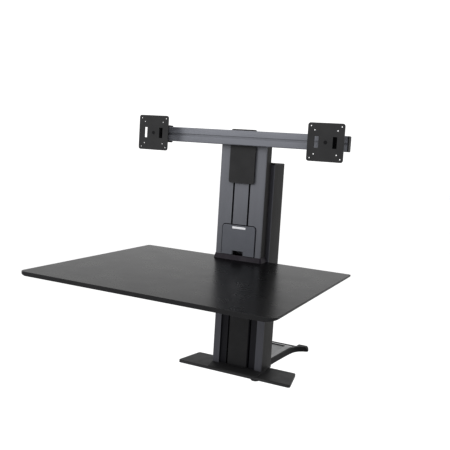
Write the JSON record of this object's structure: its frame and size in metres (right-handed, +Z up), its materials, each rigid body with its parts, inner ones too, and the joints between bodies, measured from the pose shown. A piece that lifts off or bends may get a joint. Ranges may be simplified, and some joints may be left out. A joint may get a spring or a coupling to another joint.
{
  "type": "standing desk converter",
  "caption": "Rear-clamped standing desk converter: a mast, a lifting column carrying a worksurface, and a height-adjustable crossbar with tilting display plates.",
  "frame": {"origin": "on the desk top, under the worksurface's back edge, midway across, where the foot rests", "axes": "+Z up, -Y towards the user, +X to the user's right"},
  "size_m": [0.8, 0.992, 0.995],
  "materials": {
    "powder_coat_dark": "fine-textured dark powder coat",
    "arm_casting_dark": "painted die-cast aluminium, dark",
    "anodised_graphite": "graphite satin anodised extrusion",
    "cover_graphite": "graphite satin painted plate",
    "plinth_dark": "dark painted casting",
    "label_metal": "bright brushed strip, blank",
    "zinc_steel": "zinc-plated steel",
    "spring_steel": "oiled strip steel",
    "laminate_black": "black laminate on a wood-based core, satin",
    "edge_black": "black edge band, satin",
    "plastic_black": "fine-textured black plastic",
    "inlay_grey": "light grey moulded plate",
    "acetal_white": "white acetal",
    "rubber_black": "black rubber",
    "belt_rubber": "black toothed-belt rubber, drawn flat"
  },
  "bodies": {
    "base": {"foot_bar": "powder_coat_dark", "foot_pad": "rubber_black", "base_casting": "powder_coat_dark", "base_bolts": "zinc_steel", "rear_arm": "arm_casting_dark", "arm_inlay": "inlay_grey", "clamp_bracket": "powder_coat_dark", "clamp_bolts": "zinc_steel", "clamp_top_pad": "rubber_black", "mast": "anodised_graphite", "mast_center_panel": "plastic_black", "mast_cap": "plastic_black", "spring_barrel": "powder_coat_dark", "mainspring": "spring_steel", "shaft_bushes": "acetal_white", "pulley_stubs": "zinc_steel", "drive_belts": "belt_rubber"},
    "clamp_jaw": {"clamp_jaw": "zinc_steel", "clamp_jaw_pad": "rubber_black"},
    "clamp_screw": {"clamp_screw": "zinc_steel", "clamp_knob": "plastic_black"},
    "tension_rod": {"tension_rod": "zinc_steel"},
    "lower_shaft": {"lower_shaft": "zinc_steel", "lower_pulleys": "acetal_white"},
    "lift_carriage": {"truck_left": "zinc_steel", "truck_right": "zinc_steel", "wheel_axles": "zinc_steel", "belt_clamps": "powder_coat_dark", "lift_column": "anodised_graphite", "column_cap": "plastic_black", "column_foot": "plinth_dark", "column_bolts": "zinc_steel", "worksurface": "laminate_black", "worksurface_edge_band": "edge_black", "support_rail_left": "powder_coat_dark", "support_rail_right": "powder_coat_dark", "support_tie": "powder_coat_dark", "worksurface_screws": "zinc_steel"},
    "cable_cover": {"cable_cover": "cover_graphite", "label_plate": "label_metal"},
    "display_riser": {"riser_plate": "powder_coat_dark", "riser_glides": "acetal_white", "riser_bolts": "zinc_steel", "crossbar": "anodised_graphite", "crossbar_end_caps": "plastic_black"},
    "upper_pulley_left": {"upper_pulley_left": "acetal_white"},
    "upper_wheel_left": {"upper_wheel_left": "acetal_white"},
    "lower_wheel_left": {"lower_wheel_left": "acetal_white"},
    "carrier_left": {"carrier_left": "arm_casting_dark"},
    "pan_yoke_left": {"pan_yoke_left": "arm_casting_dark"},
    "tilt_knuckle_left": {"tilt_knuckle_left": "arm_casting_dark"},
    "display_plate_left": {"display_plate_left": "powder_coat_dark"},
    "upper_pulley_right": {"upper_pulley_right": "acetal_white"},
    "upper_wheel_right": {"upper_wheel_right": "acetal_white"},
    "lower_wheel_right": {"lower_wheel_right": "acetal_white"},
    "carrier_right": {"carrier_right": "arm_casting_dark"},
    "pan_yoke_right": {"pan_yoke_right": "arm_casting_dark"},
    "tilt_knuckle_right": {"tilt_knuckle_right": "arm_casting_dark"},
    "display_plate_right": {"display_plate_right": "powder_coat_dark"}
  },
  "joints": [
    {"name": "lift", "type": "slide", "parent": "base", "child": "lift_carriage", "axis": [0, 0, 1], "range_m": [-0.36, 0.097]},
    {"name": "riser_slide", "type": "slide", "parent": "lift_carriage", "child": "display_riser", "axis": [0, 0, 1], "range_m": [-0.06, 0.055]},
    {"name": "cover_release", "type": "slide", "parent": "lift_carriage", "child": "cable_cover", "axis": [0, 0, 1], "range_m": [0, 0.012]},
    {"name": "clamp_travel", "type": "slide", "parent": "base", "child": "clamp_jaw", "axis": [0, 0, 1], "range_m": [-0.015, 0.013]},
    {"name": "clamp_turn", "type": "hinge", "parent": "clamp_jaw", "child": "clamp_screw", "pos_m": [0, 0.184, -0.06], "axis": [0, 0, 1], "range_deg": [-3605, 3125]},
    {"name": "tension_turn", "type": "hinge", "parent": "base", "child": "tension_rod", "pos_m": [0, 0.028, 0.766], "axis": [0, 0, 1], "range_deg": [-1800, 1800]},
    {"name": "shaft_turn", "type": "hinge", "parent": "base", "child": "lower_shaft", "pos_m": [0, 0.052, 0.06], "axis": [1, 0, 0], "range_deg": [-435.8, 1604]},
    {"name": "upper_pulley_turn_left", "type": "hinge", "parent": "base", "child": "upper_pulley_left", "pos_m": [-0.08, 0.052, 0.735], "axis": [1, 0, 0], "range_deg": [-435.8, 1604]},
    {"name": "upper_wheel_turn_left", "type": "hinge", "parent": "lift_carriage", "child": "upper_wheel_left", "pos_m": [-0.057, 0.0318, 0.636], "axis": [1, 0, 0], "range_deg": [-1218.3, 331.9]},
    {"name": "lower_wheel_turn_left", "type": "hinge", "parent": "lift_carriage", "child": "lower_wheel_left", "pos_m": [-0.057, 0.0732, 0.462], "axis": [1, 0, 0], "range_deg": [-331.9, 1218.3]},
    {"name": "carrier_slide_left", "type": "slide", "parent": "display_riser", "child": "carrier_left", "axis": [-1, 0, 0], "range_m": [-0.1, 0.025]},
    {"name": "pan_left", "type": "hinge", "parent": "carrier_left", "child": "pan_yoke_left", "pos_m": [-0.318, -0.093, 0.845], "axis": [0, 0, 1], "range_deg": [-30, 30]},
    {"name": "tilt_left", "type": "hinge", "parent": "pan_yoke_left", "child": "tilt_knuckle_left", "pos_m": [-0.318, -0.11, 0.845], "axis": [1, 0, 0], "range_deg": [-20, 15]},
    {"name": "turn_left", "type": "hinge", "parent": "tilt_knuckle_left", "child": "display_plate_left", "pos_m": [-0.318, -0.124, 0.845], "axis": [0, 1, 0], "range_deg": [0, 90]},
    {"name": "upper_pulley_turn_right", "type": "hinge", "parent": "base", "child": "upper_pulley_right", "pos_m": [0.08, 0.052, 0.735], "axis": [1, 0, 0], "range_deg": [-435.8, 1604]},
    {"name": "upper_wheel_turn_right", "type": "hinge", "parent": "lift_carriage", "child": "upper_wheel_right", "pos_m": [0.057, 0.0318, 0.636], "axis": [1, 0, 0], "range_deg": [-1218.3, 331.9]},
    {"name": "lower_wheel_turn_right", "type": "hinge", "parent": "lift_carriage", "child": "lower_wheel_right", "pos_m": [0.057, 0.0732, 0.462], "axis": [1, 0, 0], "range_deg": [-331.9, 1218.3]},
    {"name": "carrier_slide_right", "type": "slide", "parent": "display_riser", "child": "carrier_right", "axis": [1, 0, 0], "range_m": [-0.1, 0.025]},
    {"name": "pan_right", "type": "hinge", "parent": "carrier_right", "child": "pan_yoke_right", "pos_m": [0.318, -0.093, 0.845], "axis": [0, 0, 1], "range_deg": [-30, 30]},
    {"name": "tilt_right", "type": "hinge", "parent": "pan_yoke_right", "child": "tilt_knuckle_right", "pos_m": [0.318, -0.11, 0.845], "axis": [1, 0, 0], "range_deg": [-20, 15]},
    {"name": "turn_right", "type": "hinge", "parent": "tilt_knuckle_right", "child": "display_plate_right", "pos_m": [0.318, -0.124, 0.845], "axis": [0, 1, 0], "range_deg": [0, 90]}
  ],
  "couplings": [
    {"joint": "clamp_turn", "follows": "clamp_travel", "rad_per_m": 4188.8},
    {"joint": "shaft_turn", "follows": "lift", "rad_per_m": -77.519},
    {"joint": "upper_pulley_turn_left", "follows": "lift", "rad_per_m": -77.519},
    {"joint": "upper_wheel_turn_left", "follows": "lift", "rad_per_m": 58.824},
    {"joint": "lower_wheel_turn_left", "follows": "lift", "rad_per_m": -58.824},
    {"joint": "upper_pulley_turn_right", "follows": "lift", "rad_per_m": -77.519},
    {"joint": "upper_wheel_turn_right", "follows": "lift", "rad_per_m": 58.824},
    {"joint": "lower_wheel_turn_right", "follows": "lift", "rad_per_m": -58.824}
  ]
}
